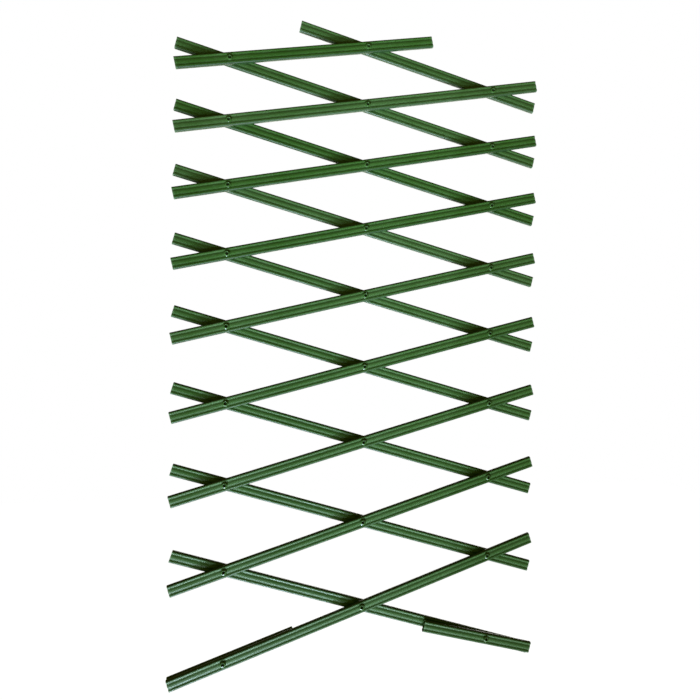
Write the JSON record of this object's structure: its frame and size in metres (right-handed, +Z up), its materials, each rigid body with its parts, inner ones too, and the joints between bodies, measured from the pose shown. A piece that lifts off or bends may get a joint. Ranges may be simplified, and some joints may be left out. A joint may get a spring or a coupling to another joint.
{
  "type": "expandable trellis",
  "caption": "Scissor-lattice garden trellis of hollow PVC slats in two layers, riveted at every crossing, that opens out upwards and folds flat to carry climbing plants.",
  "frame": {"origin": "centre of the rear face of the centre rivet, the face that rests on the wall", "axes": "+Z up along the lattice's tall side, +X to the right seen from the front, +Y into the wall; the front of the lattice faces -Y"},
  "size_m": [0.6198, 0.0173, 1.0682],
  "materials": {
    "slat_plastic": "extruded green PVC, satin, with fine draw lines along the slat",
    "rivet_plastic": "moulded green plastic, satin"
  },
  "bodies": {
    "centre_rivet": {"centre_rivet": "rivet_plastic"},
    "front_slat_1": {"front_slat_1": "slat_plastic", "left_rivet_1": "rivet_plastic", "middle_rivet_1": "rivet_plastic"},
    "back_slat_1": {"back_slat_1": "slat_plastic"},
    "front_slat_2": {"front_slat_2": "slat_plastic", "left_rivet_2": "rivet_plastic", "middle_rivet_2": "rivet_plastic", "right_rivet_2": "rivet_plastic"},
    "back_slat_2": {"back_slat_2": "slat_plastic"},
    "front_slat_3": {"front_slat_3": "slat_plastic", "left_rivet_3": "rivet_plastic", "middle_rivet_3": "rivet_plastic", "right_rivet_3": "rivet_plastic"},
    "back_slat_3": {"back_slat_3": "slat_plastic"},
    "front_slat_4": {"front_slat_4": "slat_plastic", "left_rivet_4": "rivet_plastic", "middle_rivet_4": "rivet_plastic", "right_rivet_4": "rivet_plastic"},
    "back_slat_4": {"back_slat_4": "slat_plastic"},
    "front_slat_5": {"front_slat_5": "slat_plastic", "left_rivet_5": "rivet_plastic", "right_rivet_5": "rivet_plastic"},
    "back_slat_5": {"back_slat_5": "slat_plastic"},
    "front_slat_6": {"front_slat_6": "slat_plastic", "left_rivet_6": "rivet_plastic", "middle_rivet_6": "rivet_plastic", "right_rivet_6": "rivet_plastic"},
    "back_slat_6": {"back_slat_6": "slat_plastic"},
    "front_slat_7": {"front_slat_7": "slat_plastic", "left_rivet_7": "rivet_plastic", "middle_rivet_7": "rivet_plastic", "right_rivet_7": "rivet_plastic"},
    "back_slat_7": {"back_slat_7": "slat_plastic"},
    "front_slat_8": {"front_slat_8": "slat_plastic", "left_rivet_8": "rivet_plastic", "middle_rivet_8": "rivet_plastic", "right_rivet_8": "rivet_plastic"},
    "back_slat_8": {"back_slat_8": "slat_plastic"},
    "front_slat_9": {"front_slat_9": "slat_plastic", "left_rivet_9": "rivet_plastic", "middle_rivet_9": "rivet_plastic", "right_rivet_9": "rivet_plastic"},
    "back_slat_9": {"back_slat_9": "slat_plastic"},
    "front_slat_10": {"front_slat_10": "slat_plastic", "right_rivet_10": "rivet_plastic"},
    "back_slat_10": {"back_slat_10": "slat_plastic"}
  },
  "joints": [
    {"name": "lattice_opening", "type": "hinge", "parent": "centre_rivet", "child": "front_slat_5", "pos_m": [0, 0, 0], "axis": [0, -1, 0], "range_deg": [-9, 20]},
    {"name": "centre_pivot_back", "type": "hinge", "parent": "centre_rivet", "child": "back_slat_5", "pos_m": [0, 0, 0], "axis": [0, -1, 0], "range_deg": [-20.3, 9.3]},
    {"name": "left_pivot_5", "type": "hinge", "parent": "front_slat_5", "child": "back_slat_6", "pos_m": [-0.22272, 0, -0.05742], "axis": [0, -1, 0], "range_deg": [-39.88, 18.11]},
    {"name": "middle_pivot_6", "type": "hinge", "parent": "back_slat_6", "child": "front_slat_6", "pos_m": [0.0002, 0, -0.1179], "axis": [0, -1, 0], "range_deg": [-17.93, 39.47]},
    {"name": "left_pivot_6", "type": "hinge", "parent": "front_slat_6", "child": "back_slat_7", "pos_m": [-0.2217, 0, -0.1784], "axis": [0, -1, 0], "range_deg": [-39.04, 17.73]},
    {"name": "middle_pivot_7", "type": "hinge", "parent": "back_slat_7", "child": "front_slat_7", "pos_m": [0.00043, 0, -0.24214], "axis": [0, -1, 0], "range_deg": [-17.54, 38.61]},
    {"name": "left_pivot_7", "type": "hinge", "parent": "front_slat_7", "child": "back_slat_8", "pos_m": [-0.22056, 0, -0.30589], "axis": [0, -1, 0], "range_deg": [-38.18, 17.35]},
    {"name": "middle_pivot_8", "type": "hinge", "parent": "back_slat_8", "child": "front_slat_8", "pos_m": [0.00067, 0, -0.37304], "axis": [0, -1, 0], "range_deg": [-17.15, 37.75]},
    {"name": "left_pivot_8", "type": "hinge", "parent": "front_slat_8", "child": "back_slat_9", "pos_m": [-0.21931, 0, -0.44019], "axis": [0, -1, 0], "range_deg": [-37.31, 16.96]},
    {"name": "middle_pivot_9", "type": "hinge", "parent": "back_slat_9", "child": "front_slat_9", "pos_m": [0.00087, 0, -0.51088], "axis": [0, -1, 0], "range_deg": [-16.76, 36.88]},
    {"name": "left_pivot_4", "type": "hinge", "parent": "back_slat_5", "child": "front_slat_4", "pos_m": [-0.22362, 0, 0.05742], "axis": [0, -1, 0], "range_deg": [-18.48, 40.7]},
    {"name": "middle_pivot_4", "type": "hinge", "parent": "front_slat_4", "child": "back_slat_4", "pos_m": [-0.00019, 0, 0.11197], "axis": [0, -1, 0], "range_deg": [-41.1, 18.66]},
    {"name": "left_pivot_3", "type": "hinge", "parent": "back_slat_4", "child": "front_slat_3", "pos_m": [-0.22441, 0, 0.16652], "axis": [0, -1, 0], "range_deg": [-18.83, 41.47]},
    {"name": "middle_pivot_3", "type": "hinge", "parent": "front_slat_3", "child": "back_slat_3", "pos_m": [-0.00036, 0, 0.21848], "axis": [0, -1, 0], "range_deg": [-41.84, 18.99]},
    {"name": "left_pivot_2", "type": "hinge", "parent": "back_slat_3", "child": "front_slat_2", "pos_m": [-0.22507, 0, 0.27044], "axis": [0, -1, 0], "range_deg": [-19.14, 42.17]},
    {"name": "middle_pivot_2", "type": "hinge", "parent": "front_slat_2", "child": "back_slat_2", "pos_m": [-0.00052, 0, 0.32018], "axis": [0, -1, 0], "range_deg": [-42.49, 19.29]},
    {"name": "left_pivot_1", "type": "hinge", "parent": "back_slat_2", "child": "front_slat_1", "pos_m": [-0.22557, 0, 0.36991], "axis": [0, -1, 0], "range_deg": [-19.39, 42.72]},
    {"name": "middle_pivot_1", "type": "hinge", "parent": "front_slat_1", "child": "back_slat_1", "pos_m": [-0.00068, 0, 0.41813], "axis": [0, -1, 0], "range_deg": [-42.94, 19.49]},
    {"name": "back_stub_swing", "type": "hinge", "parent": "front_slat_9", "child": "back_slat_10", "pos_m": [-0.218, 0, -0.58157], "axis": [0, 1, 0], "range_deg": [0, 55]},
    {"name": "front_stub_swing", "type": "hinge", "parent": "back_slat_9", "child": "front_slat_10", "pos_m": [0.21908, 0, -0.58157], "axis": [0, -1, 0], "range_deg": [0, 55]}
  ],
  "couplings": [
    {"joint": "centre_pivot_back", "follows": "lattice_opening", "ratio": -1},
    {"joint": "left_pivot_5", "follows": "lattice_opening", "ratio": -1.9792},
    {"joint": "middle_pivot_6", "follows": "lattice_opening", "ratio": 1.9584},
    {"joint": "left_pivot_6", "follows": "lattice_opening", "ratio": -1.937},
    {"joint": "middle_pivot_7", "follows": "lattice_opening", "ratio": 1.9156},
    {"joint": "left_pivot_7", "follows": "lattice_opening", "ratio": -1.894},
    {"joint": "middle_pivot_8", "follows": "lattice_opening", "ratio": 1.8724},
    {"joint": "left_pivot_8", "follows": "lattice_opening", "ratio": -1.8507},
    {"joint": "middle_pivot_9", "follows": "lattice_opening", "ratio": 1.829},
    {"joint": "left_pivot_4", "follows": "lattice_opening", "ratio": 2.0199},
    {"joint": "middle_pivot_4", "follows": "lattice_opening", "ratio": -2.0398},
    {"joint": "left_pivot_3", "follows": "lattice_opening", "ratio": 2.0584},
    {"joint": "middle_pivot_3", "follows": "lattice_opening", "ratio": -2.077},
    {"joint": "left_pivot_2", "follows": "lattice_opening", "ratio": 2.0933},
    {"joint": "middle_pivot_2", "follows": "lattice_opening", "ratio": -2.1096},
    {"joint": "left_pivot_1", "follows": "lattice_opening", "ratio": 2.1209},
    {"joint": "middle_pivot_1", "follows": "lattice_opening", "ratio": -2.1322}
  ]
}
